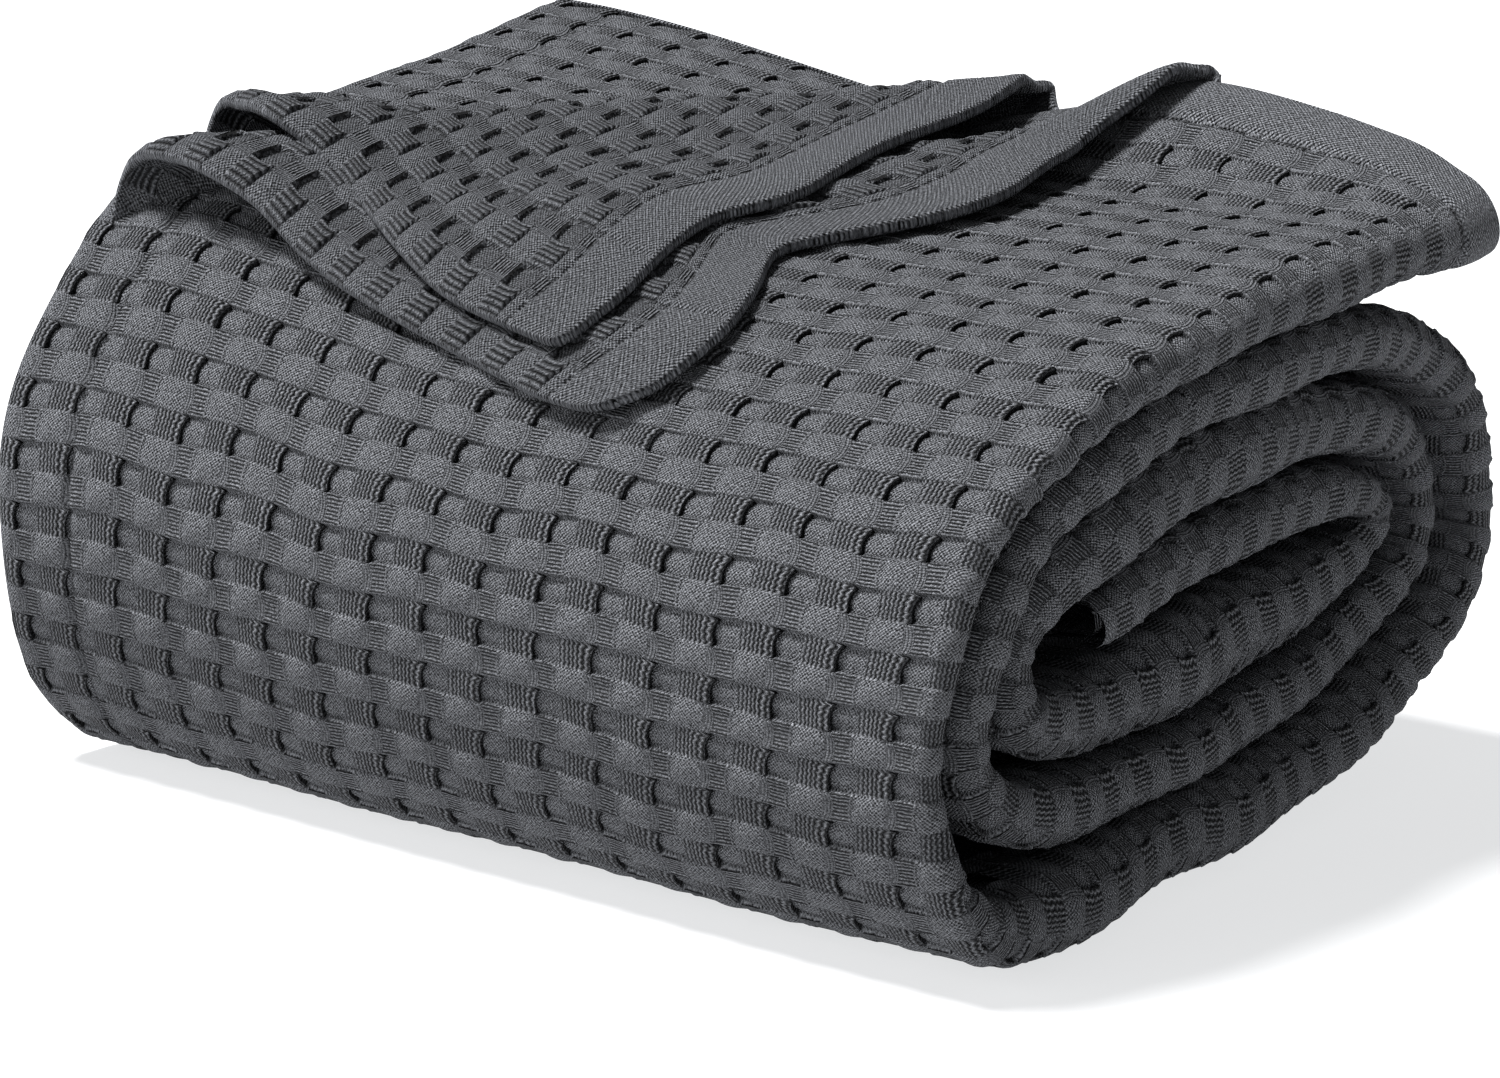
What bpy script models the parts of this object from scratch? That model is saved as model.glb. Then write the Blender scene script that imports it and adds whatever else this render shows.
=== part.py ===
"""Folded waffle-weave cotton blanket: a wide strip of folded plies rolled flat, with two plies of its free end turned back over the top. Metres, +Z up. X runs along the roll, the rounded fold edges are at +X, the front is at -Y."""

import math

import bmesh
import bpy
import numpy as np

# ---- driving sizes ----
PITCH = 0.021  # one repeat of the weave along the roll; every table below is in pitches
LEFT_END = -12.35  # the open side of the plies
CENTRE_X = -3.454  # half way between the ends, moved to the origin
CENTRE_Y = 6.932
PLY_COUNT = 3  # ply edges that show at the open side of each layer
SLIT_DEPTH = 0.9
SLIT_WIDTH = 0.12
EDGE_ROUND = 0.14
EDGE_LIFT = 0.2  # the fold edges of the lowest layer stand this far off the floor
FLAP_PLY = 0.19  # thickness of a turned-back ply, pile included
COLUMNS = (-10.4, -7.6, -4.6, -1.8, 0.6, 2.8)  # stations between the two ends
ROW_STEP = 1.15  # longest step along the roll
ROW_TURN = 21.0  # largest turn of a step, degrees

# ---- the roll's middle line at the +X end: y, z, half thickness, x of the fold edge ----
ROLL = (
    ("free end", 12.95, 8.29, 0.50, 5.60),
    ("top", 10.70, 8.27, 0.50, 5.55),
    ("top", 8.90, 8.19, 0.49, 5.50),
    ("top", 7.20, 8.04, 0.44, 5.40),
    ("top", 5.50, 7.87, 0.39, 5.30),
    ("top", 3.85, 7.55, 0.35, 5.20),
    ("shoulder", 2.45, 7.01, 0.31, 5.05),
    ("shoulder", 1.40, 6.30, 0.29, 4.90),
    ("shoulder", 0.60, 5.37, 0.27, 4.75),
    ("front", 0.18, 4.37, 0.26, 4.65),
    ("front", 0.04, 3.32, 0.26, 4.60),
    ("front", 0.08, 2.37, 0.27, 4.65),
    ("corner", 0.33, 1.34, 0.30, 4.90),
    ("corner", 0.95, 0.74, 0.46, 5.20),
    ("bottom", 2.20, 0.58, 0.58, 5.35),
    ("bottom", 4.50, 0.60, 0.60, 5.25),
    ("bottom", 7.00, 0.62, 0.62, 5.25),
    ("bottom", 9.20, 0.90, 0.61, 5.30),
    ("bottom", 11.25, 1.56, 0.56, 5.40),
    ("back", 12.80, 2.48, 0.50, 5.40),
    ("back", 13.58, 3.62, 0.48, 5.40),
    ("back", 13.45, 4.80, 0.48, 5.40),
    ("back", 12.86, 5.92, 0.46, 5.35),
    ("back", 11.55, 6.71, 0.44, 5.30),
    ("layer 2", 9.70, 7.11, 0.44, 5.30),
    ("layer 2", 7.20, 7.10, 0.42, 5.30),
    ("layer 2", 5.30, 6.93, 0.41, 5.20),
    ("layer 2", 3.70, 6.56, 0.37, 5.05),
    ("front 2", 2.45, 5.95, 0.35, 4.85),
    ("front 2", 1.60, 5.09, 0.34, 4.70),
    ("front 2", 1.12, 4.02, 0.35, 4.60),
    ("front 2", 1.08, 3.02, 0.38, 4.65),
    ("turn 2", 1.48, 2.29, 0.40, 4.80),
    ("layer 6", 2.60, 1.93, 0.46, 5.00),
    ("layer 6", 4.50, 1.89, 0.47, 5.10),
    ("layer 6", 6.80, 1.96, 0.47, 5.10),
    ("layer 6", 9.20, 2.25, 0.47, 5.10),
    ("layer 6", 11.00, 2.79, 0.43, 5.10),
    ("back 2", 12.02, 3.49, 0.40, 5.10),
    ("back 2", 12.28, 4.32, 0.40, 5.10),
    ("back 2", 11.86, 5.19, 0.42, 5.10),
    ("layer 3", 10.60, 5.75, 0.50, 5.10),
    ("layer 3", 8.50, 6.01, 0.56, 5.10),
    ("layer 3", 6.00, 5.90, 0.58, 5.05),
    ("layer 3", 4.30, 5.53, 0.53, 4.90),
    ("front 3", 3.00, 4.89, 0.44, 4.70),
    ("front 3", 2.20, 4.13, 0.40, 4.55),
    ("front 3", 2.18, 3.37, 0.40, 4.65),
    ("layer 5", 3.30, 3.03, 0.52, 4.85),
    ("layer 5", 5.30, 3.13, 0.66, 4.95),
    ("layer 5", 7.60, 3.27, 0.67, 5.00),
    ("layer 5", 9.40, 3.47, 0.55, 5.00),
    ("turn 3", 10.72, 3.75, 0.38, 5.00),
    ("turn 3", 11.16, 4.22, 0.32, 5.00),
    ("layer 4", 10.50, 4.69, 0.36, 5.00),
    ("layer 4", 8.60, 4.81, 0.45, 4.95),
    ("layer 4", 6.00, 4.65, 0.45, 4.90),
    ("layer 4", 4.60, 4.41, 0.42, 4.80),
    ("inner end", 3.55, 4.19, 0.34, 4.65),
)

# ---- the two turned-back plies, on the roll's own surface: x and length from the free end ----
# crease from A at the open side to B at the back, corner at C
FLAPS = {
    # name: A, B, C, bend radius at A, middle and B, rest height, swell at the open side, bulge of the side edge
    "lower": ((-12.30, 10.00), (0.45, -0.20), (-1.50, 11.80), (0.14, 0.12, 0.22), 0.17, 0.30, 0.35),
    "upper": ((-11.75, 8.85), (-1.20, 0.20), (-2.75, 11.20), (0.34, 0.24, 0.24), 0.42, 0.30, 0.0),
}
FLAP_ALONG = 9  # cells along the crease
FLAP_ACROSS = 8  # cells from the crease to the corner
BEND_CELLS = 4


def smooth(low, high, value):
    t = min(1.0, max(0.0, (value - low) / (high - low)))
    return t * t * (3 - 2 * t)


def bell(value, centre, width):
    return math.exp(-(((value - centre) / width) ** 2))


def spline(rows, per):
    """Centripetal Catmull-Rom through the table, every column carried along."""
    table = np.array([row[1:] for row in rows], float)
    ends = np.vstack([2 * table[0] - table[1], table, 2 * table[-1] - table[-2]])
    found = []
    for i in range(1, len(ends) - 2):
        knots = [0.0]
        for a, b in zip(ends[i - 1 : i + 2], ends[i : i + 3]):
            knots.append(knots[-1] + math.sqrt(math.hypot(b[0] - a[0], b[1] - a[1])))
        for t in np.linspace(knots[1], knots[2], per, endpoint=False):
            level = list(ends[i - 1 : i + 3])
            for depth in (1, 2, 3):
                level = [
                    blend(level[k], level[k + 1], knots, k, depth, t)
                    for k in range(len(level) - 1)
                ]
            found.append(level[0])
    found.append(table[-1])
    return np.array(found)


def blend(a, b, knots, k, depth, t):
    low, high = (k, k + 1) if depth == 1 else (k, k + 2) if depth == 2 else (1, 2)
    return ((knots[high] - t) * a + (t - knots[low]) * b) / (knots[high] - knots[low])


LINE = spline(ROLL, 14)
LENGTH = np.concatenate([[0], np.cumsum(np.hypot(*np.diff(LINE[:, :2], axis=0).T))])


def section(s):
    """Point, outward normal, half thickness and fold-edge x at length s from the free end."""
    inside = min(max(s, 0.0), LENGTH[-1])
    y, z, half, edge = (np.interp(inside, LENGTH, LINE[:, k]) for k in range(4))
    a, b = max(inside - 0.08, 0.0), min(inside + 0.08, LENGTH[-1])
    along = np.array([np.interp(b, LENGTH, LINE[:, k]) - np.interp(a, LENGTH, LINE[:, k]) for k in (0, 1)])
    along /= np.linalg.norm(along)
    point = np.array([y, z]) + along * (s - inside)
    return point, np.array([along[1], -along[0]]), half, edge


def place(x, s, n):
    """A point n above the middle line, with the roll's slow unevenness: it stands taller at the open side, and its free end curls up near the crease."""
    point, normal, half, edge = section(s)
    curl = smooth(3.2, 0.0, s) * (1.0 * bell(x, 1.3, 2.1) + 0.28 * bell(x, 4.2, 1.5))
    y, z = point + normal * (n + curl)
    open_side = smooth(-1.0, -12.6, x)
    rise = 0.80 + 0.30 * bell(y, 2.4, 1.6) + 0.55 * smooth(9.5, 13.0, y)
    z += open_side * rise * smooth(0.9, 8.3, z)
    z += EDGE_LIFT * smooth(2.0, 5.0, x) * bell(y, 6.0, 3.2) * smooth(1.9, 0.9, z)
    return np.array([x, y, z])


def metres(point):
    x, y, z = point
    return ((x - CENTRE_X) * PITCH, (y - CENTRE_Y) * PITCH, max(z, 0.0) * PITCH)


# ---- the rolled strip ----
def stations():
    """Lengths along the roll: close together round the turns, wide apart on the runs."""
    fine = np.arange(0.0, LENGTH[-1], 0.05)
    normals = [section(s)[1] for s in fine]
    picked, last = [0.0], 0
    for i in range(1, len(fine)):
        turned = math.degrees(math.acos(np.clip(normals[i] @ normals[last], -1, 1)))
        if turned > ROW_TURN or fine[i] - fine[last] > ROW_STEP * (3.0 - 2.0 * min(1.0, turned / 8.0)):
            picked.append(float(fine[i]))
            last = i
    if LENGTH[-1] - picked[-1] < 0.4:
        picked.pop()
    return picked + [float(LENGTH[-1])]


def strip_loop(s):
    """The strip's outline across its width: (x, n) pairs, from the open side over the top, round the fold edge, back below, and over the ply edges."""
    _, _, half, edge = section(s)
    edge += 0.06 * math.sin(1.9 * s) + 0.04 * math.sin(0.83 * s + 1.0)
    left = LEFT_END + 0.7 * bell(s, 19.5, 2.2) + 0.1 * math.sin(0.61 * s + 2.0) + 0.05 * math.sin(1.7 * s)
    lip = edge - half * 0.95
    top = [(left + EDGE_ROUND, half)] + [(x, half) for x in COLUMNS] + [(lip, half)]
    fold = [(lip + half * 0.95 * math.cos(a), half * math.sin(a)) for a in np.radians((56, 28, 0, -28, -56))]
    below = [(x, -n) for x, n in reversed(top)]
    ply = 2 * half / PLY_COUNT
    slit = min(SLIT_WIDTH, 0.3 * ply)
    ends = [(left, -half + ply / 2)]
    for k in range(1, PLY_COUNT):
        n = -half + ply * k
        ends += [
            (left + EDGE_ROUND, n - slit / 2),
            (left + SLIT_DEPTH, n),
            (left + EDGE_ROUND, n + slit / 2),
            (left + 0.05 * math.sin(s + 2 * k), n + ply / 2),
        ]
    return top + fold + below + ends


def strip_mesh(mesh):
    loops = [
        [mesh.verts.new(metres(place(x, s, n))) for x, n in strip_loop(s)] for s in stations()
    ]
    for a, b in zip(loops, loops[1:]):
        for i in range(len(a)):
            j = (i + 1) % len(a)
            mesh.faces.new((a[i], a[j], b[j], b[i]))
    for cap in (loops[0][::-1], loops[-1]):
        mesh.faces.new(cap)


# ---- a turned-back ply ----
def flap_rows(a, b, c, radii, rest, swell, bulge):
    """Rows of (x, s, n) from inside the strip, round the bend, to the corner."""
    a, b, c = (np.array(p, float) for p in (a, b, c))
    length = np.linalg.norm(b - a)
    d = (b - a) / length
    inward = np.array([-d[1], d[0]])
    if inward @ (c - a) < 0:
        inward = -inward
    foot, height = (c - a) @ d, (c - a) @ inward
    rows = []

    def row(e, turned, angle):
        down = turned / height
        lower = foot * down - bulge * math.sin(math.pi * down)
        upper = length - (length - foot) * down
        points = []
        for t in np.linspace(0, 1, FLAP_ALONG + 1):
            along = lower + (upper - lower) * t
            q = along / length
            radius = radii[1] + (radii[0] - radii[1]) * (1 - smooth(0, 0.3, q)) + (radii[2] - radii[1]) * smooth(0.6, 1.0, q)
            if angle is None:
                lift = rest + (2 * radius - rest) * (1 - smooth(0.0, 3.2, turned))
                x, s = a + d * along + inward * turned
                lift += swell * bell(x, -11.6, 2.4) * smooth(0.0, 1.2, turned)
                lift += 0.05 * math.sin(1.3 * x + 0.9 * s) + 0.25 * smooth(0.5, 0.9, q)
            else:
                x, s = a + d * along - inward * radius * math.sin(angle) + inward * e
                lift = radius * (1 - math.cos(angle)) - 0.16 * max(0.0, 1 - angle / 0.7)
            half = section(max(s, 0.0))[2]
            points.append((x, s, half + lift))
        rows.append(points)

    row(0.55, 0.0, 0.0)
    for k in range(BEND_CELLS + 1):
        row(0.0, 0.0, math.pi * (0.12 + 0.88 * k / BEND_CELLS))
    for k in range(1, FLAP_ACROSS + 1):
        row(0.0, height * min(k / FLAP_ACROSS, 0.985), None)
    return rows


def flap_mesh(mesh, rows):
    grid = np.array([[place(x, s, n) for x, s, n in row] for row in rows])
    across = np.gradient(grid, axis=0)
    along = np.gradient(grid, axis=1)
    normals = np.cross(along, across)
    normals /= np.linalg.norm(normals, axis=2, keepdims=True)
    skins = [
        [[mesh.verts.new(metres(p)) for p in row] for row in grid + side * FLAP_PLY / 2 * normals]
        for side in (1, -1)
    ]
    for skin in skins:
        for a, b in zip(skin, skin[1:]):
            for i in range(len(a) - 1):
                mesh.faces.new((a[i], a[i + 1], b[i + 1], b[i]))
    front, back = skins
    rim = [(r, 0) for r in range(len(rows))] + [(len(rows) - 1, i) for i in range(1, FLAP_ALONG + 1)]
    rim += [(r, FLAP_ALONG) for r in range(len(rows) - 2, -1, -1)] + [(0, i) for i in range(FLAP_ALONG - 1, 0, -1)]
    for (r, i), (q, j) in zip(rim, rim[1:] + rim[:1]):
        mesh.faces.new((front[r][i], front[q][j], back[q][j], back[r][i]))


def make_object(name, fill):
    mesh = bmesh.new()
    fill(mesh)
    bmesh.ops.triangulate(mesh, faces=mesh.faces[:], ngon_method="EAR_CLIP")
    bmesh.ops.recalc_face_normals(mesh, faces=mesh.faces[:])
    if mesh.calc_volume(signed=True) < 0:
        bmesh.ops.reverse_faces(mesh, faces=mesh.faces[:])
    data = bpy.data.meshes.new(name)
    mesh.to_mesh(data)
    mesh.free()
    found = bpy.data.objects.new(name, data)
    bpy.context.scene.collection.objects.link(found)
    return found


def main():
    for old in list(bpy.data.objects):
        bpy.data.objects.remove(old, do_unlink=True)
    blanket = make_object("blanket", strip_mesh)
    for name, shape in FLAPS.items():
        rows = flap_rows(*shape)
        flap = make_object("turned_" + name, lambda mesh, rows=rows: flap_mesh(mesh, rows))
        flap.hide_render = True
        joined = blanket.modifiers.new("join " + name, "BOOLEAN")
        joined.operation = "UNION"
        joined.solver = "MANIFOLD"
        joined.object = flap

    cotton = bpy.data.materials.new("charcoal cotton")
    cotton.use_nodes = True
    surface = cotton.node_tree.nodes["Principled BSDF"]
    surface.inputs["Base Color"].default_value = (0.09, 0.093, 0.1, 1.0)
    surface.inputs["Roughness"].default_value = 0.95
    blanket.data.materials.append(cotton)


if __name__ == "__main__":
    main()
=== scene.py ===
"""Looks of the folded waffle-weave blanket: the waffle relief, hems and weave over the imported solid, a pale floor, soft light and the camera."""

import math

import bpy
import numpy as np
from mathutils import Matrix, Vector


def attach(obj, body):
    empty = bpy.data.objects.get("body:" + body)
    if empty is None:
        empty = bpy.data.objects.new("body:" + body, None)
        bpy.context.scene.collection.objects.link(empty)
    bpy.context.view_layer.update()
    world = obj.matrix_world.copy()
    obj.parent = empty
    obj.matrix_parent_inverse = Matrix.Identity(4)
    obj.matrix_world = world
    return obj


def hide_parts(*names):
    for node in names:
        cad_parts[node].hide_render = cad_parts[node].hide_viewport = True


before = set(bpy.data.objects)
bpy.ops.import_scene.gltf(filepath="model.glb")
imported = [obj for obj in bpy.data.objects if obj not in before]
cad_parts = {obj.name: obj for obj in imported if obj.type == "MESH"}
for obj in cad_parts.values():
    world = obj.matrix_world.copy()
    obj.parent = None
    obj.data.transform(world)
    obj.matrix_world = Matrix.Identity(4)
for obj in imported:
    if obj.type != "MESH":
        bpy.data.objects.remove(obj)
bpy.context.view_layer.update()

# ---- sizes shared with the solid: one repeat of the weave is the unit ----
PITCH = 0.021
LEFT_END = -12.35
CENTRE_X = -3.454
CENTRE_Y = 6.932
EDGE_LIFT = 0.2
ROW = 0.80  # one repeat across the roll, in the same unit
FRONT_Z = 4.67  # height of a pocket's middle on the front
HEM = 1.1
SIDE_STITCH = 1.47
PLIES = 3

ROLL = (
    (12.95, 8.29, 0.50, 5.60),
    (10.70, 8.27, 0.50, 5.55),
    (8.90, 8.19, 0.49, 5.50),
    (7.20, 8.04, 0.44, 5.40),
    (5.50, 7.87, 0.39, 5.30),
    (3.85, 7.55, 0.35, 5.20),
    (2.45, 7.01, 0.31, 5.05),
    (1.40, 6.30, 0.29, 4.90),
    (0.60, 5.37, 0.27, 4.75),
    (0.18, 4.37, 0.26, 4.65),
    (0.04, 3.32, 0.26, 4.60),
    (0.08, 2.37, 0.27, 4.65),
    (0.33, 1.34, 0.30, 4.90),
    (0.95, 0.74, 0.46, 5.20),
    (2.20, 0.58, 0.58, 5.35),
    (4.50, 0.60, 0.60, 5.25),
    (7.00, 0.62, 0.62, 5.25),
    (9.20, 0.90, 0.61, 5.30),
    (11.25, 1.56, 0.56, 5.40),
    (12.80, 2.48, 0.50, 5.40),
    (13.58, 3.62, 0.48, 5.40),
    (13.45, 4.80, 0.48, 5.40),
    (12.86, 5.92, 0.46, 5.35),
    (11.55, 6.71, 0.44, 5.30),
    (9.70, 7.11, 0.44, 5.30),
    (7.20, 7.10, 0.42, 5.30),
    (5.30, 6.93, 0.41, 5.20),
    (3.70, 6.56, 0.37, 5.05),
    (2.45, 5.95, 0.35, 4.85),
    (1.60, 5.09, 0.34, 4.70),
    (1.12, 4.02, 0.35, 4.60),
    (1.08, 3.02, 0.38, 4.65),
    (1.48, 2.29, 0.40, 4.80),
    (2.60, 1.93, 0.46, 5.00),
    (4.50, 1.89, 0.47, 5.10),
    (6.80, 1.96, 0.47, 5.10),
    (9.20, 2.25, 0.47, 5.10),
    (11.00, 2.79, 0.43, 5.10),
    (12.02, 3.49, 0.40, 5.10),
    (12.28, 4.32, 0.40, 5.10),
    (11.86, 5.19, 0.42, 5.10),
    (10.60, 5.75, 0.50, 5.10),
    (8.50, 6.01, 0.56, 5.10),
    (6.00, 5.90, 0.58, 5.05),
    (4.30, 5.53, 0.53, 4.90),
    (3.00, 4.89, 0.44, 4.70),
    (2.20, 4.13, 0.40, 4.55),
    (2.18, 3.37, 0.40, 4.65),
    (3.30, 3.03, 0.52, 4.85),
    (5.30, 3.13, 0.66, 4.95),
    (7.60, 3.27, 0.67, 5.00),
    (9.40, 3.47, 0.55, 5.00),
    (10.72, 3.75, 0.38, 5.00),
    (11.16, 4.22, 0.32, 5.00),
    (10.50, 4.69, 0.36, 5.00),
    (8.60, 4.81, 0.45, 4.95),
    (6.00, 4.65, 0.45, 4.90),
    (4.60, 4.41, 0.42, 4.80),
    (3.55, 4.19, 0.34, 4.65),
)

# crease from A at the open side to B at the back, corner at C; bend radii; rest height, swell, bulge
FLAPS = {
    "lower": ((-11.02, 10.66), (0.70, -0.05), (-1.55, 11.86), (0.46, 0.12, 0.09), 0.17, 0.30, 0.35),
    "upper": ((-10.85, 9.14), (-2.37, -0.15), (-2.90, 11.16), (0.50, 0.24, 0.31), 0.42, 0.30, 0.0),
}
# how far the side edge and the hem stray from straight: (distance from the corner, offset)
FLAP_EDGES = {
    "lower": (
        ((0.0, -0.05), (1.37, -0.04), (2.16, 0.09), (3.02, 0.17), (5.36, 0.23), (6.44, 0.31), (7.43, 0.42), (8.29, 0.28), (9.11, 0.17), (10.0, 0.0)),
        ((0.0, 0.0), (0.5, -0.24), (1.35, -0.41), (2.0, -0.36), (2.93, 0.10), (3.60, 0.60), (4.13, 0.95), (4.44, 0.81), (5.15, 0.40), (5.6, 0.09), (6.45, -0.30), (7.41, -0.37), (8.85, 0.11), (9.85, 0.30), (10.4, 0.15), (11.0, 0.0)),
    ),
    "upper": (
        ((0.0, -0.03), (1.09, -0.16), (1.88, -0.30), (2.59, -0.38), (3.73, -0.24), (4.73, 0.01), (5.63, 0.20), (6.41, 0.20), (7.04, 0.05), (8.2, 0.0)),
        ((0.0, 0.0), (0.77, -0.16), (1.29, -0.19), (2.35, 0.06), (3.19, 0.17), (3.67, 0.10), (4.12, -0.22), (4.90, -0.44), (5.94, -0.36), (7.13, -0.29), (8.39, -0.30), (9.38, -0.34), (10.2, -0.22), (11.0, 0.0)),
    ),
}
FLAP_PLY = 0.19


# ---- the roll ----
def smooth(low, high, value):
    t = np.clip((value - low) / (high - low), 0.0, 1.0)
    return t * t * (3 - 2 * t)


def bell(value, centre, width):
    return np.exp(-(((value - centre) / width) ** 2))


def spline(rows, per):
    """Centripetal Catmull-Rom through the table, every column carried along."""
    table = np.array(rows, float)
    ends = np.vstack([2 * table[0] - table[1], table, 2 * table[-1] - table[-2]])
    found = []
    for i in range(1, len(ends) - 2):
        knots = [0.0]
        for a, b in zip(ends[i - 1 : i + 2], ends[i : i + 3]):
            knots.append(knots[-1] + math.sqrt(math.hypot(b[0] - a[0], b[1] - a[1])))
        for t in np.linspace(knots[1], knots[2], per, endpoint=False):
            level = list(ends[i - 1 : i + 3])
            for depth in (1, 2, 3):
                mixed = []
                for k in range(len(level) - 1):
                    low, high = (k, k + 1) if depth == 1 else (k, k + 2) if depth == 2 else (1, 2)
                    mixed.append(
                        ((knots[high] - t) * level[k] + (t - knots[low]) * level[k + 1])
                        / (knots[high] - knots[low])
                    )
                level = mixed
            found.append(level[0])
    found.append(table[-1])
    return np.array(found)


LINE = spline(ROLL, 14)
LENGTH = np.concatenate([[0], np.cumsum(np.hypot(*np.diff(LINE[:, :2], axis=0).T))])
END = float(LENGTH[-1])


def section(s):
    """y, z, normal y, normal z, half thickness and fold-edge x at length s from the free end."""
    inside = np.clip(s, 0.0, END)
    y, z, half, edge = (np.interp(inside, LENGTH, LINE[:, k]) for k in range(4))
    a, b = np.maximum(inside - 0.08, 0.0), np.minimum(inside + 0.08, END)
    ty = np.interp(b, LENGTH, LINE[:, 0]) - np.interp(a, LENGTH, LINE[:, 0])
    tz = np.interp(b, LENGTH, LINE[:, 1]) - np.interp(a, LENGTH, LINE[:, 1])
    size = np.hypot(ty, tz)
    ty, tz = ty / size, tz / size
    return y + ty * (s - inside), z + tz * (s - inside), tz, -ty, half, edge


def eased(value, table):
    """A table read between its rows, with its corners rounded off."""
    at, amount = zip(*table)
    return sum(np.interp(value + k * 0.15, at, amount) for k in (-2, -1, 0, 1, 2)) / 5


# how far the free end curls up: (x, amount)
CURL = (
    (-4.0, 0.0),
    (-2.4, 0.10),
    (-1.2, 0.65),
    (-0.3, 1.10),
    (0.4, 1.20),
    (1.2, 1.18),
    (2.0, 1.08),
    (3.2, 0.88),
    (4.4, 0.58),
    (5.2, 0.16),
    (6.0, -0.15),
)


def place(x, s, n):
    """Metres, for a point n above the strip's middle line."""
    y, z, ny, nz, half, edge = section(s)
    curl = smooth(2.9, 0.0, s) * eased(x, CURL)
    y, z = y + ny * (n + curl), z + nz * (n + curl)
    rise = 0.80 + 0.30 * bell(y, 2.4, 1.6) + 0.55 * smooth(9.5, 13.0, y)
    z = z + smooth(-1.0, -12.6, x) * rise * smooth(0.9, 8.3, z)
    z = z + EDGE_LIFT * smooth(2.0, 5.0, x) * bell(y, 6.0, 3.2) * smooth(1.9, 0.9, z)
    return np.stack([(x - CENTRE_X) * PITCH, (y - CENTRE_Y) * PITCH, np.maximum(z, 0.015) * PITCH], axis=-1)


FINE = np.arange(0.0, END, 0.02)
_y, _z, _ny, _nz, _half, _edge = section(FINE)
_outer = np.stack([_y + _ny * _half, _z + _nz * _half], axis=1)
OUTER = np.concatenate([[0], np.cumsum(np.hypot(*np.diff(_outer, axis=0).T))])
_front = (FINE > 8) & (FINE < 22) & (_outer[:, 0] < 1.5)
_zero = OUTER[_front][np.argmin(np.abs(_outer[_front, 1] - FRONT_Z))]
ROWS = (OUTER - _zero) / ROW


def row_of(s):
    return np.interp(s, FINE, ROWS)


def length_of(v):
    inside = np.interp(v, ROWS, FINE)
    return inside + np.minimum(0, v - ROWS[0]) * ROW + np.maximum(0, v - ROWS[-1]) * ROW


def hashed(i, j, k):
    """A repeatable number from 0 to 1 for each cell of the weave."""
    value = np.sin(i * 12.9898 + j * 78.233 + k * 37.719) * 43758.5453
    return value - np.floor(value)


# ---- the waffle's relief, in repeats: u along the roll, v round it ----
def relief(u, v, strength=1.0, reverse=False):
    """Height of the cloth, and the sideways push of each cell's lip."""
    i, j = np.floor(u + 0.02), np.floor(v + 0.02)
    fu, fv = u - i, v - j  # from -0.02 to 0.98
    r1, r2, r3 = hashed(i, j, 1), hashed(i, j, 2), hashed(i, j, 3)
    rows = smooth(-0.012, 0.022, fv) * (1 - smooth(0.445, 0.50, fv))
    left = smooth(-0.012, 0.02, fu)
    if reverse:
        floor = -0.022 - 0.016 * smooth(0.20, 0.44, fv) - 0.008 * bell(fu, 0.02, 0.04)
    else:
        floor = -0.022 - 0.016 * (1 - smooth(0.05, 0.30, fu)) - 0.020 * bell(fu, 0.020, 0.020)
        floor = floor - 0.022 * bell(fv, 0.40, 0.06) - 0.020 * bell(fv, 0.04, 0.05)
    pocket = floor * (0.8 + 0.4 * r1)
    ribbed = -0.015 + (0.022 + 0.035 * r2) * smooth(0.50, 0.92, fu) + 0.008 * bell(fu, 0.52, 0.06)
    if reverse:
        ribbed = 0.050 + 0.03 * r2 - 0.05 * np.abs(fu - 0.74) / 0.26
    upper = left * pocket * (1 - smooth(0.42, 0.50, fu)) + (1 - left) * 0.022 + smooth(0.42, 0.50, fu) * ribbed
    bar = 0.010 + 0.026 * bell(fv, 0.515, 0.035) + 0.020 * smooth(0.88, 0.975, fv) + 0.012 * bell(fu, 0.01, 0.06)
    pillow = 0.010 + 0.050 * (0.7 + 0.6 * r3) * np.clip(1 - ((fu - 0.73) / 0.30) ** 2, 0, 1) * np.clip(
        1 - ((fv - 0.73) / 0.27) ** 2, 0, 1
    )
    side = smooth(0.42, 0.52, fu)
    lower = bar * (1 - side) + pillow * side
    height = rows * upper + (1 - rows) * lower
    # the lip follows the pocket's rounded corners: furthest over at the top
    from_middle = np.clip((fv - 0.27) / 0.25, -1, 1)
    curve = 0.085 * from_middle**2 * np.where(from_middle < 0, 1.0, 0.55) + 0.015 * (r3 - 0.5)
    near = smooth(0.72, 0.975, fu) + (1 - smooth(0.02, 0.28, fu))
    push = rows * (curve * near + 0.048 * (smooth(0.86, 0.975, fu) + 1 - left))
    if reverse:
        push = push * 0.4
    return height * strength, push * strength


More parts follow.
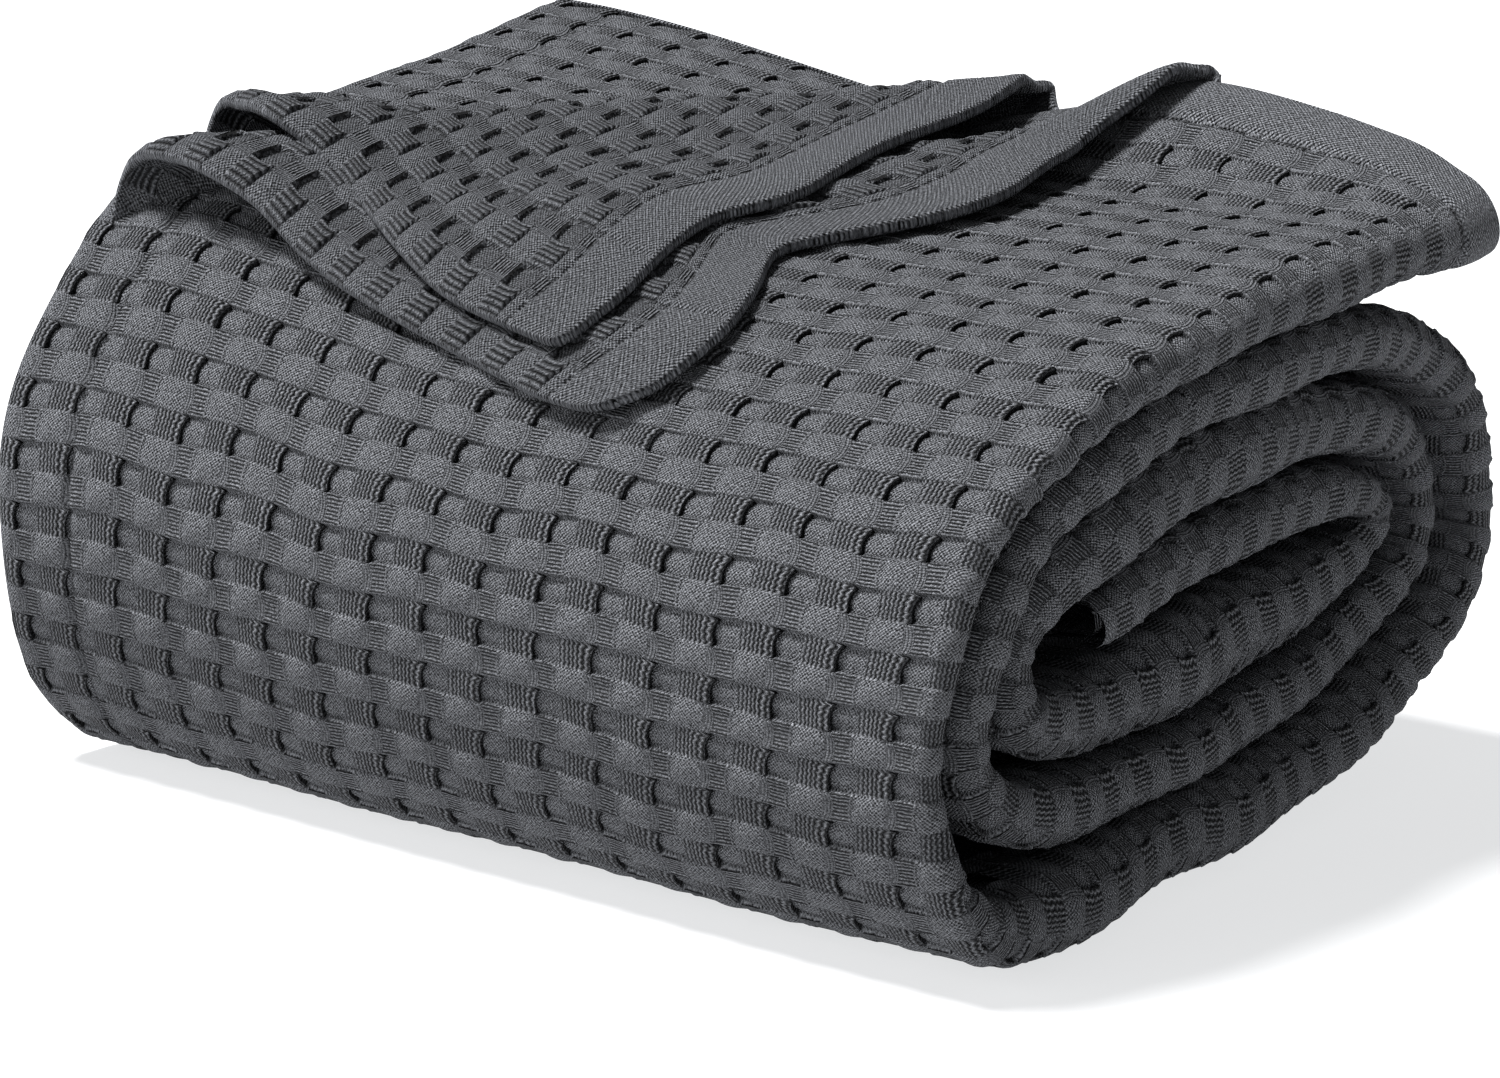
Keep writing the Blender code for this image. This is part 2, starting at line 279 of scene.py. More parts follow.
# ---- mesh making ----
def grid_object(name, points, weave, edges, keep=None, trim=((0, 0), (0, 0)), flip=False, normals=None):
    """A mesh from a grid of points, with smooth normals taken before the trim rows go."""
    if normals is None:
        normals = grid_normals(points)
    if flip:
        normals = -normals
    (r0, r1), (c0, c1) = trim
    rows = slice(r0, points.shape[0] - r1)
    columns = slice(c0, points.shape[1] - c1)
    points, weave, edges, normals = (a[rows, columns] for a in (points, weave, edges, normals))
    r, c = points.shape[:2]
    index = np.arange(r * c).reshape(r, c)
    quads = np.stack([index[:-1, :-1], index[:-1, 1:], index[1:, 1:], index[1:, :-1]], axis=-1)
    if flip:
        quads = quads[..., ::-1]
    quads = quads.reshape(-1, 4)
    if keep is not None:
        keep = keep[rows, columns]
        kept = (keep[:-1, :-1] | keep[:-1, 1:] | keep[1:, 1:] | keep[1:, :-1]).reshape(-1)
        quads = quads[kept]
    used, inverse = np.unique(quads, return_inverse=True)
    quads = inverse.reshape(-1, 4).astype(np.int32)
    flat = lambda a: a.reshape(-1, a.shape[-1])[used]
    return mesh_object(name, flat(points), quads, flat(weave), flat(edges), flat(normals))


def grid_normals(points):
    along = np.gradient(points, axis=1)
    across = np.gradient(points, axis=0)
    normals = np.cross(along, across)
    size = np.linalg.norm(normals, axis=-1, keepdims=True)
    return normals / np.maximum(size, 1e-12)


def mesh_object(name, points, quads, weave, edges, normals):
    data = bpy.data.meshes.new(name)
    data.vertices.add(len(points))
    data.vertices.foreach_set("co", np.ascontiguousarray(points, np.float32).ravel())
    data.loops.add(quads.size)
    data.loops.foreach_set("vertex_index", quads.ravel())
    data.polygons.add(len(quads))
    data.polygons.foreach_set("loop_start", np.arange(0, quads.size, 4, dtype=np.int32))
    data.polygons.foreach_set("use_smooth", np.ones(len(quads), bool))
    data.update(calc_edges=True)
    for layer, values in (("weave", weave), ("edges", edges)):
        uv = data.uv_layers.new(name=layer)
        uv.uv.foreach_set("vector", np.ascontiguousarray(values[quads.ravel()], np.float32).ravel())
    data.validate()
    data.normals_split_custom_set_from_vertices([tuple(n) for n in normals.tolist()])
    found = bpy.data.objects.new(name, data)
    bpy.context.scene.collection.objects.link(found)
    return found


def lines(first, last, cell):
    """Grid lines on the weave: the same fractions in every repeat, from first to last."""
    values = [k + f for k in range(math.floor(first) - 1, math.ceil(last) + 1) for f in cell]
    values = [v for v in sorted(values) if first - 1e-6 <= v <= last + 1e-6]
    return np.array(values)


U_FINE = (0.0, 0.018, 0.04, 0.07, 0.12, 0.20, 0.29, 0.38, 0.43, 0.47, 0.52, 0.60, 0.69, 0.78, 0.86, 0.93, 0.965, 0.985)
V_FINE = (0.0, 0.025, 0.06, 0.13, 0.21, 0.29, 0.37, 0.42, 0.46, 0.50, 0.54, 0.62, 0.71, 0.80, 0.89, 0.95, 0.98)
U_COARSE = (0.0, 0.03, 0.08, 0.22, 0.38, 0.45, 0.52, 0.66, 0.82, 0.94, 0.975)
V_COARSE = (0.0, 0.05, 0.16, 0.30, 0.42, 0.50, 0.58, 0.72, 0.88, 0.96)


def left_shift(s):
    return 0.7 * bell(s, 19.5, 2.2) + 0.1 * np.sin(0.61 * s + 2.0) + 0.05 * np.sin(1.7 * s)


def ring(c, s, d, push=0.0):
    """A point on the strip's outline. c runs over the top from the open side, round the fold edge and back underneath; below LEFT_END it turns round the first ply's edge."""
    half, edge = section(s)[4:]
    edge = edge + 0.06 * np.sin(1.9 * s) + 0.04 * np.sin(0.83 * s + 1.0)
    left = LEFT_END + left_shift(s)
    c = c + left_shift(s) * smooth(-9.5, -12.35, c) + push
    lip = edge - half * 0.95
    turn = np.clip((c - lip) / half, 0.0, math.pi)
    beyond = np.maximum(0.0, c - lip - math.pi * half)
    before = np.minimum(0.0, c - lip)
    x = lip + before + 0.95 * half * np.sin(turn) - beyond
    n = half * np.cos(turn)
    nx, nn = np.sin(turn), np.cos(turn)
    r = half / PLIES * 0.98
    start = left + r
    back = np.clip((start - c) / r, 0.0, math.pi)
    inside = np.maximum(0.0, start - c - math.pi * r)
    on_left = c < start
    x = np.where(on_left, start - r * np.sin(back) + inside, x)
    n = np.where(on_left, half - r + r * np.cos(back), n)
    nx = np.where(on_left, -np.sin(back), nx)
    nn = np.where(on_left, np.cos(back), nn)
    return place(x + d * nx, s, n + d * nn)


def skin(name, columns, rows, shift=0.0, hem=False, strength=1.0):
    """Part of the strip's cloth as a grid in repeats, with one spare row at each end for its normals."""
    step = 0.02
    rows = np.concatenate([[rows[0] - step], rows, [rows[-1] + step]])
    u, v = np.meshgrid(columns, rows)
    s = length_of(v) + 0.03 * np.sin(0.8 * u + 0.3 * v) + 0.02 * np.sin(2.1 * u + 1.3) + 0.02 * np.sin(1.9 * u - 1.3 * v)
    c = u - (shift(s) if callable(shift) else shift)
    c = c + (0.03 * np.sin(0.9 * v + 0.5 * u) + 0.025 * np.sin(2.3 * v - 1.1 * u)) * smooth(-12.3, -11.0, u)
    height, push = relief(u, v, strength)
    edge_fade = smooth(-12.33, -12.05, u)
    height, push = height * edge_fade, push * edge_fade
    # side hem: the row of stitching draws the cloth in, and the pockets next to it are narrow
    side = c - LEFT_END
    stitched = bell(side, SIDE_STITCH, 0.06)
    height = height * (1 - 0.75 * bell(side, SIDE_STITCH, 0.13)) - 0.05 * stitched
    hemmed = s if hem else s + 50.0
    if hem:
        shown = smooth(-0.9, -0.6, u)
        hemmed = s + 50.0 * (1 - shown)
        plain = (1 - smooth(HEM - 0.05, HEM + 0.25, s)) * shown
        height = height * (1 - plain) + 0.03 * plain - 0.06 * bell(s, HEM, 0.06) * shown
        push = push * (1 - plain)
    slow = 0.035 * np.sin(0.55 * u + 0.7 * v + 1.0) * np.sin(0.35 * u - 0.5 * v)
    points = ring(c, s, height + slow * edge_fade, push)
    weave = np.stack([u, v], axis=-1)
    edges = np.stack([side, hemmed], axis=-1)
    return grid_object(name, points, weave, edges, trim=((1, 1), (0, 0)))


pieces = []
LEFT_ROUND = np.array([-12.9, -12.72, -12.62, -12.52, -12.45, -12.38])
V0, V9, V20, V41, V_END = (float(row_of(s)) for s in (0.0, 9.0, 19.3, 41.0, END - 0.15))
V9, V20, V41 = round(V9), round(V20), round(V41)
fine_columns = np.concatenate([LEFT_ROUND, lines(-12.33, 7.7, U_FINE)])
front_columns = np.concatenate([LEFT_ROUND, lines(-12.33, 6.6, U_FINE)])
coarse_columns = np.concatenate([LEFT_ROUND, lines(-12.33, 7.6, U_COARSE)])
top_rows = np.concatenate([[V0], lines(V0 + 0.02, V9, V_FINE)])
pieces.append(skin("cloth_top", fine_columns, top_rows, hem=True, strength=0.85))
front_rows = lines(V9, V20, V_FINE)
below_rows = lines(V20, V41, V_COARSE)
pieces.append(skin("cloth_front", front_columns, front_rows))
pieces.append(skin("cloth_below_and_back", coarse_columns, below_rows))


def inner_shift(s):
    half, edge = section(s)[4:]
    return 5.62 - (edge - 0.95 * half + 0.5 * math.pi * half)


inner_columns = lines(3.0, 8.2, (0.0, 0.03, 0.08, 0.2, 0.34, 0.44, 0.51, 0.62, 0.75, 0.87, 0.95, 0.98))
inner_rows = np.concatenate([lines(V41, V_END, V_COARSE), [V_END]])
pieces.append(skin("cloth_inner_layers", inner_columns, inner_rows, shift=inner_shift))


# ---- the open side, where the edges of the plies show ----
def ply_edges():
    rows = np.arange(0.05, END - 0.05, 0.2)
    profile = []  # (distance in from the open side, share of the half thickness, which ply)
    for k in range(PLIES):
        top, r = 1 - 2 * k / PLIES, 1 / PLIES
        if k == 0:
            profile += [(1.6, 0.40, k), (0.8, 0.50, k), (0.3, 0.62, k)]
        else:
            profile += [(0.9, top, k), (0.45, top, k)]
        for a in np.linspace(0, math.pi, 9):
            profile.append((0.0, top - r + r * math.cos(a), k + 10))
        if k == PLIES - 1:
            profile += [(0.3, -0.62, k), (0.8, -0.50, k), (1.6, -0.40, k)]
    s = np.repeat(rows[:, None], len(profile), axis=1)
    half = section(s)[4]
    depth = np.array([p[0] for p in profile])[None, :] + 0 * s
    share = np.array([p[1] for p in profile])[None, :]
    kind = np.array([p[2] for p in profile])[None, :] + 0 * s
    r = half / PLIES
    ply = np.where(kind >= 10, kind - 10, kind)
    lobes = np.zeros_like(s)
    for k in range(PLIES):
        on = (kind >= 10) & (ply == k)
        centre = 1 - 2 * k / PLIES - 1 / PLIES
        lobes = np.where(on, np.sqrt(np.clip(1 - ((share - centre) * PLIES) ** 2, 0, 1)), lobes)
    left = LEFT_END + left_shift(s) + 0.03 + 0.05 * np.sin(s + 2 * ply)
    x = np.where(kind >= 10, left + r * (1 - lobes), left + r + depth)
    wave = 0.03 * np.sin(2 * np.pi * row_of(s) + ply) * lobes
    n = half * share
    points = place(x - wave, s, n)
    weave = np.stack([-12.3 + np.abs(x - left) + 0.25 * share, row_of(s)], axis=-1)
    edges = np.stack([x - left + 0.3, s + 50.0], axis=-1)
    return grid_object("cloth_open_side", points, weave, edges, flip=True)


pieces.append(ply_edges())


# ---- the free end under its hem ----
def free_end():
    columns = np.concatenate([LEFT_ROUND, lines(-12.33, 9.0, (0.0, 0.14, 0.28, 0.43, 0.57, 0.71, 0.86))])
    depths = np.array([0.0, 0.04, 0.12, 0.22, 0.34, 0.46, 0.58, 0.66, 0.70, 0.76, 0.86, 0.98])
    c, t = np.meshgrid(columns, depths)
    half = section(np.zeros_like(c))[4]
    lobe = np.where(t < 0.68, np.sqrt(np.clip(1 - ((t - 0.34) / 0.34) ** 2, 0, 1)), 0.0)
    lobe = np.where(t >= 0.72, np.sqrt(np.clip(1 - ((1.05 - t) / 0.36) ** 2, 0, 1)), lobe)
    s = 0.10 * (1 - lobe) + 0.02 * np.sin(3 * c)
    s = np.where(t < 1e-6, 0.0, s)
    points = ring(c, s, 0.03 * (1 - smooth(0, 0.2, t)) - t * half)
    weave = np.stack([c, -t], axis=-1)
    edges = np.stack([c - LEFT_END, 0.4 + 0 * c], axis=-1)
    return grid_object("cloth_free_end", points, weave, edges, flip=True)


pieces.append(free_end())


def under_free_end():
    """The side of the top layer that faces down, as far as it can be seen."""
    columns = lines(6.4, 19.2, U_COARSE)
    rows = np.concatenate([[0.02], np.arange(0.3, 6.0, 0.3)])
    c, s = np.meshgrid(columns, rows)
    height, push = relief(c, row_of(s), 0.6)
    points = ring(c, s, height * smooth(0.0, 0.5, s) - 0.01)
    weave = np.stack([c, row_of(s)], axis=-1)
    edges = np.stack([c * 0 + 50.0, s], axis=-1)
    return grid_object("cloth_under_top", points, weave, edges)


pieces.append(under_free_end())


def core():
    """A dark filling of each layer's thickness, so that no gap shows through the bundle."""
    s = np.arange(0.3, END - 0.2, 0.3)
    half, edge = section(s)[4:]
    xs = np.array([LEFT_END + 1.6, -8.0, -4.0, 0.0, 3.5])
    top = [(np.full_like(s, x), 0.72 * half) for x in xs]
    turn = [(edge - half * 0.95 + 0.55 * half * math.cos(a), 0.72 * half * math.sin(a)) for a in np.radians((60, 20, -20, -60))]
    below = [(np.full_like(s, x), -0.72 * half) for x in xs[::-1]]
    loop = top + turn + below
    loop.append(loop[0])
    x = np.stack([p[0] for p in loop], axis=1)
    n = np.stack([p[1] for p in loop], axis=1)
    ss = np.repeat(s[:, None], x.shape[1], axis=1)
    points = place(x, ss, n)
    weave = np.stack([x, row_of(ss)], axis=-1)
    edges = np.stack([x * 0 + 50.0, ss + 50.0], axis=-1)
    return grid_object("cloth_inside", points, weave, edges, flip=True)


pieces.append(core())


# ---- the two turned-back plies ----
FLAP_LOOKS = {
    # name: u of the side edge, v of the hem, corner radius, hem width
    "lower": (0.50, 0.35, 0.75, 1.1),
    "upper": (0.50, 0.35, 0.35, 1.1),
}


def flap_base(shape, across, down, corner, strays=None):
    """Middle of the ply: across is the distance from the side edge, down the distance from the hem."""
    a, b, c, radii, rest, swell, bulge = shape
    a, b, c = (np.array(p, float) for p in (a, b, c))
    side_stray = hem_stray = 0.0
    if strays is not None:
        side_stray = eased(down, strays[0]) * (1 - smooth(0.0, 4.5, across))
        hem_stray = eased(across, strays[1]) * (1 - smooth(0.0, 5.0, down))
    # the corner is rounded
    p, q = (corner - np.minimum(across, corner)) / corner, (corner - np.minimum(down, corner)) / corner
    across = np.where((p > 0) & (q > 0), corner - corner * p * np.sqrt(1 - q * q / 2), across)
    down = np.where((p > 0) & (q > 0), corner - corner * q * np.sqrt(1 - p * p / 2), down)
    across, down = across + side_stray, down + hem_stray
    length = np.linalg.norm(b - a)
    d = (b - a) / length
    inward = np.array([-d[1], d[0]])
    if inward @ (c - a) < 0:
        inward = -inward
    side_length, hem_length = np.linalg.norm(a - c), np.linalg.norm(b - c)
    height = (c - a) @ inward
    flat = c + (a - c) * (down / side_length)[..., None] + (b - c) * (across / hem_length)[..., None]
    e = (flat - a) @ inward
    weight_a, weight_b = down / side_length, across / hem_length
    t = weight_b / np.maximum(weight_a + weight_b, 1e-6)
    sink = np.clip(e / height, 0.0, 1.0)
    flat = flat - d * (bulge * np.sin(math.pi * sink) * (1 - np.clip(t, 0, 1)))[..., None]
    q = ((flat - a) @ d) / length
    radius = radii[1] + (radii[0] - radii[1]) * (1 - smooth(0, 0.3, q)) + (radii[2] - radii[1]) * smooth(0.6, 1.0, q)
    # on top
    x1, s1 = flat[..., 0], flat[..., 1]
    lift1 = rest + (2 * radius - rest) * (1 - smooth(0.0, 3.2, e))
    lift1 = lift1 + swell * bell(x1, -11.6, 2.4) * smooth(0.0, 1.2, e)
    wave = 0.05 * np.sin(1.3 * x1 + 0.9 * s1) + 0.25 * smooth(0.5, 0.9, q)
    lift1 = lift1 + wave * smooth(0.0, 0.5, e)
    # round the bend and under
    turn = np.clip(-e / radius, 0.0, math.pi)
    under = np.maximum(0.0, -e - math.pi * radius)
    base = flat - inward * e[..., None]
    bent = base - inward * (radius * np.sin(turn))[..., None] + inward * under[..., None]
    lift2 = radius * (1 + np.cos(turn)) - 0.26 * smooth(1.7, 3.1, turn) - 0.20 * smooth(0.0, 0.7, under)
    on_top = e >= 0
    x = np.where(on_top, x1, bent[..., 0])
    s = np.where(on_top, s1, bent[..., 1])
    inside = LEFT_END + left_shift(s) + 0.10
    x = np.where(under > 0, np.maximum(x, inside), x)
    s = np.maximum(s, np.where(on_top, -0.34, -0.34 + 0.40 * smooth(0.6, 3.1, turn)))
    lift = np.where(on_top, lift1, lift2)
    half = section(np.maximum(s, 0.0))[4]
    return place(x, s, half + lift), e, radius


def flap(name):
    shape = FLAPS[name]
    u0, v0, corner, hem_width = FLAP_LOOKS[name]
    a, b, c = (np.array(p, float) for p in shape[:3])
    side_length, hem_length = np.linalg.norm(a - c), np.linalg.norm(b - c)
    edge_lines = np.array([0.0, 0.004, 0.012, 0.028, 0.05, 0.10])
    us = lines(u0 + 0.16, u0 + hem_length + 2.6, U_FINE) - u0
    vs = lines(v0 + 0.16, v0 + (side_length + 2.6) / ROW, V_FINE)
    vs = (vs - v0) * ROW
    across, down = np.meshgrid(np.concatenate([edge_lines, us]), np.concatenate([edge_lines, vs]))
    u, v = u0 + across, v0 + down / ROW
    base, e, radius = flap_base(shape, across, down, corner, FLAP_EDGES[name])
    normals = -grid_normals(base)
    if normals[e > 0.5][..., 2].mean() < 0:
        normals = -normals
    height, push = relief(u, v, 1.3, reverse=True)
    hemmed = 1 - smooth(hem_width - 0.03, hem_width + 0.2, down)
    side = across
    height = height * (1 - hemmed) + 0.02 * hemmed - 0.05 * bell(down, hem_width, 0.05)
    height = height * (1 - 0.75 * bell(side, 2.0, 0.14)) - 0.05 * bell(side, 2.0, 0.06)
    rim = 0.05
    near = np.minimum(across, down)
    round_off = np.sqrt(np.clip(1 - (1 - np.clip(near / rim, 0, 1)) ** 2, 0, 1))
    height = height * smooth(0.0, 0.2, near)
    thick = FLAP_PLY / 2
    push = push * (1 - hemmed) * smooth(0.0, 0.2, near)
    moved, e, radius = flap_base(shape, across + push, down, corner, FLAP_EDGES[name])
    base = moved
    keep = e > -(math.pi * radius + 1.3)
    weave = np.stack([u, v], axis=-1)
    edges = np.stack([side + (SIDE_STITCH - 2.0), down], axis=-1)
    top = base + normals * ((thick * round_off + height) * PITCH)[..., None]
    bottom = base - normals * ((thick * round_off - 0.85 * height) * PITCH)[..., None]
    kept = keep[:-1, :-1] | keep[:-1, 1:] | keep[1:, 1:] | keep[1:, :-1]
    cells = np.diff(across, axis=1)[:-1] * np.diff(down, axis=0)[:, :-1] * kept
    cut = (across[:, 1:][:-1][kept].max() * PITCH, down[1:][:, :-1][kept].max() * PITCH, cells.sum() * PITCH**2)
    found = []
    for label, points in (("face", top), ("back", bottom)):
        facing = grid_normals(points)
        flip = (facing * normals).sum(-1).mean() < 0
        if label == "back":
            flip = not flip
        found.append(grid_object(f"turned_{name}_{label}", points, weave, edges, keep=keep, flip=flip))
    return found, cut


turned = {name: flap(name) for name in FLAPS}
for found, cut in turned.values():
    pieces += found


# ---- the cloth's material ----
class Value:
    """A number in a node tree, so that sums read as sums."""

    def __init__(self, tree, socket):
        self.tree, self.socket = tree, socket

    def math(self, kind, other=None, clamp=False):
        node = self.tree.nodes.new("ShaderNodeMath")
        node.operation, node.use_clamp = kind, clamp
        for slot, value in zip(node.inputs, (self, other)):
            if isinstance(value, Value):
                self.tree.links.new(value.socket, slot)
            elif value is not None:
                slot.default_value = value
        return Value(self.tree, node.outputs[0])

    def __add__(self, other):
        return self.math("ADD", other)

    __radd__ = __add__

    def __sub__(self, other):
        return self.math("SUBTRACT", other)

    def __mul__(self, other):
        return self.math("MULTIPLY", other)

    __rmul__ = __mul__

    def __rsub__(self, other):
        return self.math("MULTIPLY", -1.0).math("ADD", other)

    def sin(self):
        return self.math("SINE")

    def abs(self):
        return self.math("ABSOLUTE")

    def power(self, other):
        return self.math("POWER", other)

    def fraction(self):
        return self.math("FRACT")

    def step(self, low, high, out_low=0.0, out_high=1.0):
        node = self.tree.nodes.new("ShaderNodeMapRange")
        node.interpolation_type = "SMOOTHSTEP"
        self.tree.links.new(self.socket, node.inputs[0])
        for slot, value in zip(node.inputs[1:5], (low, high, out_low, out_high)):
            slot.default_value = value
        return Value(self.tree, node.outputs[0])

    def bump(self, centre, width):
        """1 at centre, 0 at width away."""
        return (self - centre).abs().step(0.0, width, 1.0, 0.0)


TAU = 2 * math.pi


def cloth_material(name, reverse=False):
    material = bpy.data.materials.new(name)
    material.use_nodes = True
    tree = material.node_tree
    nodes, links = tree.nodes, tree.links
    surface = nodes["Principled BSDF"]

    def read(layer):
        node = nodes.new("ShaderNodeUVMap")
        node.uv_map = layer
        split = nodes.new("ShaderNodeSeparateXYZ")
        links.new(node.outputs[0], split.inputs[0])
        return Value(tree, split.outputs[0]), Value(tree, split.outputs[1]), node

    def noise(vector, scale, detail=2.0):
        node = nodes.new("ShaderNodeTexNoise")
        node.inputs["Scale"].default_value = scale
        node.inputs["Detail"].default_value = detail
        links.new(vector.outputs[0], node.inputs["Vector"])
        return Value(tree, node.outputs["Fac"]) - 0.5

    u, v, weave = read("weave")
    side, hem, _ = read("edges")
    fu, fv = u.fraction(), v.fraction()
    wide, fine, dust = noise(weave, 1.7), noise(weave, 11.0, 3.0), noise(weave, 26.0, 2.0)

    in_hem = hem.step(HEM - 0.06, HEM + 0.04, 1.0, 0.0)
    cloth = 1.0 - in_hem
    pocket_rows = fv.step(0.44, 0.50, 1.0, 0.0) + fv.step(0.985, 1.0)
    other_rows = 1.0 - pocket_rows
    right = fu.step(0.45, 0.50) * fu.step(0.985, 1.0, 1.0, 0.0)
    left = 1.0 - right

    # ridged blocks: wavy ridges along v, deeper towards the lip
    sway, count = (0.10, 11.0) if reverse else (0.42, 13.4)
    zigzag = (v * (TAU * 9.2) + fine * 5.0 + wide * 6.0).sin() * sway
    ridge = (u * (math.pi * count) + zigzag + wide * 2.0).sin().abs().power(1.1)
    ridged = pocket_rows * right * fu.step(0.45, 0.85, 0.6, 1.0)
    # ribbed blocks: fine ribs along u
    bow = 1.0 - ((fv - 0.75) * 4.0).power(2.0)
    bow = bow.math("MAXIMUM", 0.0) * 0.045
    rib = (v * (math.pi * 16.0) + fine * 2.2).sin().abs().power(0.8)
    ribbed = other_rows * (fu - bow).step(0.075, 0.095) * (fu + bow).step(0.405, 0.42, 1.0, 0.0)
    # beaded cords at the ribbed block's two sides
    beads = (v * (TAU * 24.0)).sin() * 0.5 + 0.5
    near = fu - bow + fu.step(0.7, 0.701, 0.0, -1.0)
    cords = (near * (math.pi / 0.050)).sin().abs() * (beads * 0.6 + 0.4)
    corded = other_rows * near.step(-0.075, -0.06) * near.step(0.075, 0.09, 1.0, 0.0)
    bracket = (fu + bow).bump(0.445, 0.026) * other_rows * (beads * 0.6 + 0.4)
    # plain weave
    grain = (u * (TAU * 17.0) + fine * 4.0).sin() * (v * (TAU * 15.0) + fine * 4.0).sin()
    plain = 1.0 - (ridged + ribbed * 0.8 + corded * 0.8).math("MINIMUM", 1.0)
    # hem band: a fine even grid
    grid = (side * (TAU * 13.0) + fine * 1.5).sin() * (hem * (TAU * 13.0) + fine * 1.5).sin()
    stitch_gap = (side * (TAU * 3.6)).sin().step(-0.6, 0.2)
    stitches = hem.bump(HEM, 0.05) * stitch_gap
    side_gap = (v * (TAU * 4.0)).sin().step(-0.7, 0.1)
    side_stitches = side.bump(SIDE_STITCH, 0.045) * side_gap * cloth

    detail = (
        ridge * ridged * 1.1
        + rib * ribbed * 0.90
        + cords * corded * 0.70
        - bracket * 0.55
        + grain * plain * 0.32
        + fine * 0.30
        + dust * 0.9
    ) * cloth + grid * in_hem * 0.34 + (fine + dust) * in_hem * 0.35 - stitches * 0.8 - side_stitches * 0.9

    bump = nodes.new("ShaderNodeBump")
    bump.inputs["Strength"].default_value = 1.0
    bump.inputs["Distance"].default_value = 0.0031
    links.new(detail.socket, bump.inputs["Height"])
    links.new(bump.outputs[0], surface.inputs["Normal"])

    # colour: painted shade darkens the grooves and the crevice beside each pocket; ridges stay lighter, with painted
    # highlight on the ribbed blocks and cords
    if reverse:
        # reverse side: painted shadow as a thin dark arc on each oval pocket's rim, and painted shade inside the sunken
        # oval
        oval = ((fu - 0.235) * 4.1).power(2.0) + ((fv - 0.245) * 4.05).power(2.0)
        rim = oval.bump(1.0, 0.28) * fv.step(0.16, 0.34, 0.5, 1.0)
        painted_crevice_shade = rim * left * fv.step(0.49, 0.50, 1.1, 0.0) + oval.step(0.75, 0.95, 0.30, 0.0)
    else:
        # painted shadow as thin dark lines along each pocket's top edge and above its bottom cord, and painted shade in
        # the deep crevice beside the pocket
        painted_top_shadow = left * fv.step(0.0, 0.03, 0.7, 0.0)
        painted_bottom_shadow = left * fv.step(0.36, 0.44) * fv.step(0.455, 0.475, 0.45, 0.0)
        painted_crevice_shade = pocket_rows * (fu.step(0.018, 0.050, 1.0, 0.0) + fu.step(0.994, 1.0)) * 1.3 + painted_top_shadow + painted_bottom_shadow
    # painted shade in the troughs between ridges, ribs and cords, and along the bracket line
    painted_groove_shade = (1.0 - ridge) * ridged * 1.45 + ridged * 0.05 + (1.0 - rib) * ribbed * 1.7 + (1.0 - cords) * corded * 0.45
    painted_groove_shade = painted_groove_shade + bracket * 0.50
    shade = 1.0 - (painted_groove_shade * cloth + painted_crevice_shade * cloth * 0.85 + stitches * 0.45 + side_stitches * 0.5).math("MINIMUM", 0.97)
    # the ribbed and corded terms are painted highlight on the raised ribbed blocks and cords; the noise, grain and hem
    # grid terms are the cloth's own tone
    shade = shade * (1.0 + wide * 0.12 + fine * 0.60 + dust * 4.2 + grain * plain * 0.85 + ribbed * 0.14 * cloth + corded * 0.16 * cloth + grid * in_hem * 0.34 - in_hem * 0.10)
    mix = nodes.new("ShaderNodeMix")
    mix.data_type = "RGBA"
    mix.blend_type = "MULTIPLY"
    mix.inputs[0].default_value = 1.0
    # the reverse base is darker than the face's: painted shade for the turned plies
    mix.inputs[6].default_value = (0.112, 0.116, 0.126, 1.0) if reverse else (0.154, 0.159, 0.172, 1.0)
    combine = nodes.new("ShaderNodeCombineXYZ")
    for slot in combine.inputs:
        links.new(shade.socket, slot)
    links.new(combine.outputs[0], mix.inputs[7])
    links.new(mix.outputs[2], surface.inputs["Base Color"])
    roughness = (ridge * ridged * -0.06) + 0.90
    links.new(roughness.socket, surface.inputs["Roughness"])
    surface.inputs["Specular IOR Level"].default_value = 0.15
    surface.inputs["Sheen Weight"].default_value = 0.06
    surface.inputs["Sheen Roughness"].default_value = 0.45
    surface.inputs["Sheen Tint"].default_value = (0.75, 0.78, 0.85, 1.0)
    return material


cotton = cloth_material("charcoal_cotton_weave")
# the turned plies' material carries painted shade in its darker base colour
cotton_reverse_painted_shade = cloth_material("charcoal_cotton_weave_reverse_painted_shade", reverse=True)
for piece in pieces:
    piece.data.materials.append(cotton_reverse_painted_shade if piece.name.startswith("turned") else cotton)
    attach(piece, "root")
    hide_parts("blanket")


for name, (found, cut) in turned.items():
    "cloth_top" if name == "lower" else "turned_lower_face"


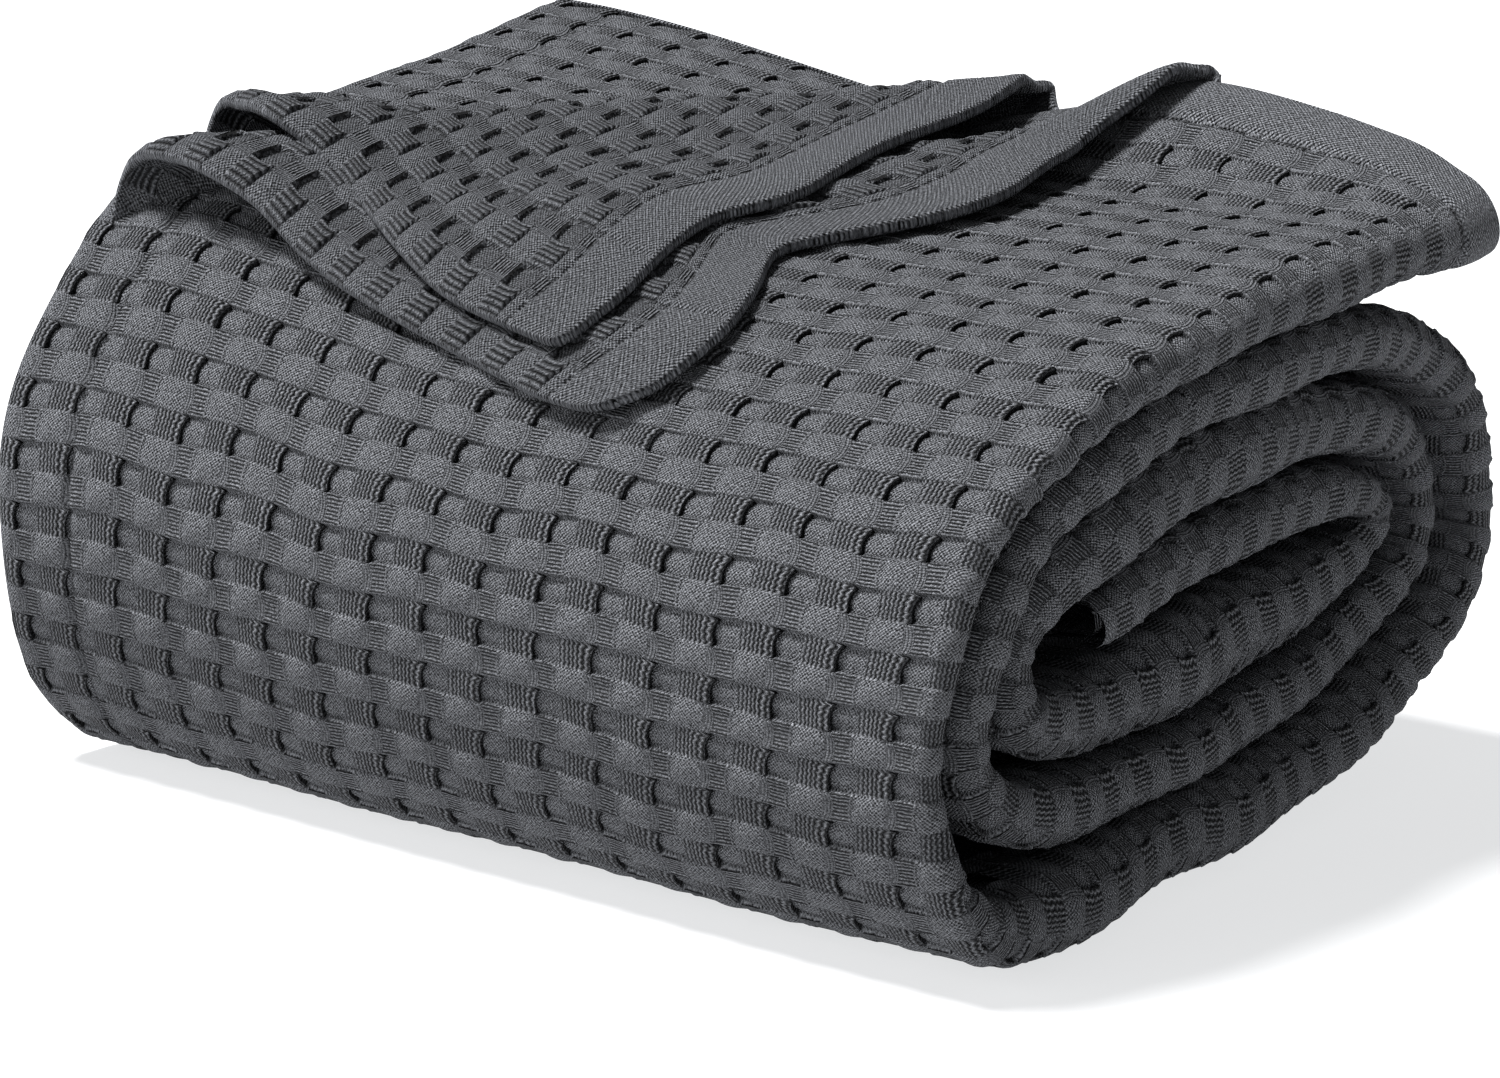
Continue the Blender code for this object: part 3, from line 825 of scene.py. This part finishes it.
# ---- floor, light and camera ----
def make_floor():
    data = bpy.data.meshes.new("studio_floor")
    size = 14.0
    data.from_pydata([(-size, -size, 0), (size, -size, 0), (size, size, 0), (-size, size, 0)], [], [(0, 1, 2, 3)])
    found = bpy.data.objects.new("studio_floor", data)
    bpy.context.scene.collection.objects.link(found)
    paint = bpy.data.materials.new("pale_floor")
    paint.use_nodes = True
    surface = paint.node_tree.nodes["Principled BSDF"]
    surface.inputs["Base Color"].default_value = (0.36, 0.36, 0.363, 1.0)
    surface.inputs["Roughness"].default_value = 0.9
    surface.inputs["Specular IOR Level"].default_value = 0.1
    surface.inputs["Emission Color"].default_value = (0.98, 0.99, 1.0, 1.0)
    surface.inputs["Emission Strength"].default_value = 0.70
    data.materials.append(paint)


make_floor()

world = bpy.data.worlds.new("studio")
bpy.context.scene.world = world
world.use_nodes = True
world.node_tree.nodes["Background"].inputs["Color"].default_value = (0.97, 0.98, 1.0, 1.0)
world.node_tree.nodes["Background"].inputs["Strength"].default_value = 0.20


def sun(name, towards, strength, angle):
    """A soft light shining towards this direction."""
    data = bpy.data.lights.new(name, "SUN")
    data.energy = strength
    data.angle = math.radians(angle)
    found = bpy.data.objects.new(name, data)
    found.rotation_euler = Vector(towards).to_track_quat("-Z", "Y").to_euler()
    bpy.context.scene.collection.objects.link(found)


sun("key", (0.36, 0.14, -0.92), 7.9, 14.0)
sun("fill", (0.55, 0.80, -0.25), 1.5, 50.0)

camera_data = bpy.data.cameras.new("camera")
camera_data.sensor_fit = "HORIZONTAL"
camera_data.sensor_width = 36.0
camera_data.lens = 36.0 * 4200 / 1500
camera_data.clip_start = 0.05
camera_data.clip_end = 100.0
camera = bpy.data.objects.new("camera", camera_data)
camera.location = ((33.266 - CENTRE_X) * PITCH, (-42.280 - CENTRE_Y) * PITCH, 20.565 * PITCH)
camera.rotation_euler = (math.radians(90 - 15.62945), 0.0, math.radians(36.82713))
bpy.context.scene.collection.objects.link(camera)
bpy.context.scene.camera = camera

scene = bpy.context.scene
scene.view_settings.view_transform = "Standard"
scene.view_settings.look = "None"
scene.view_settings.exposure = 0.0
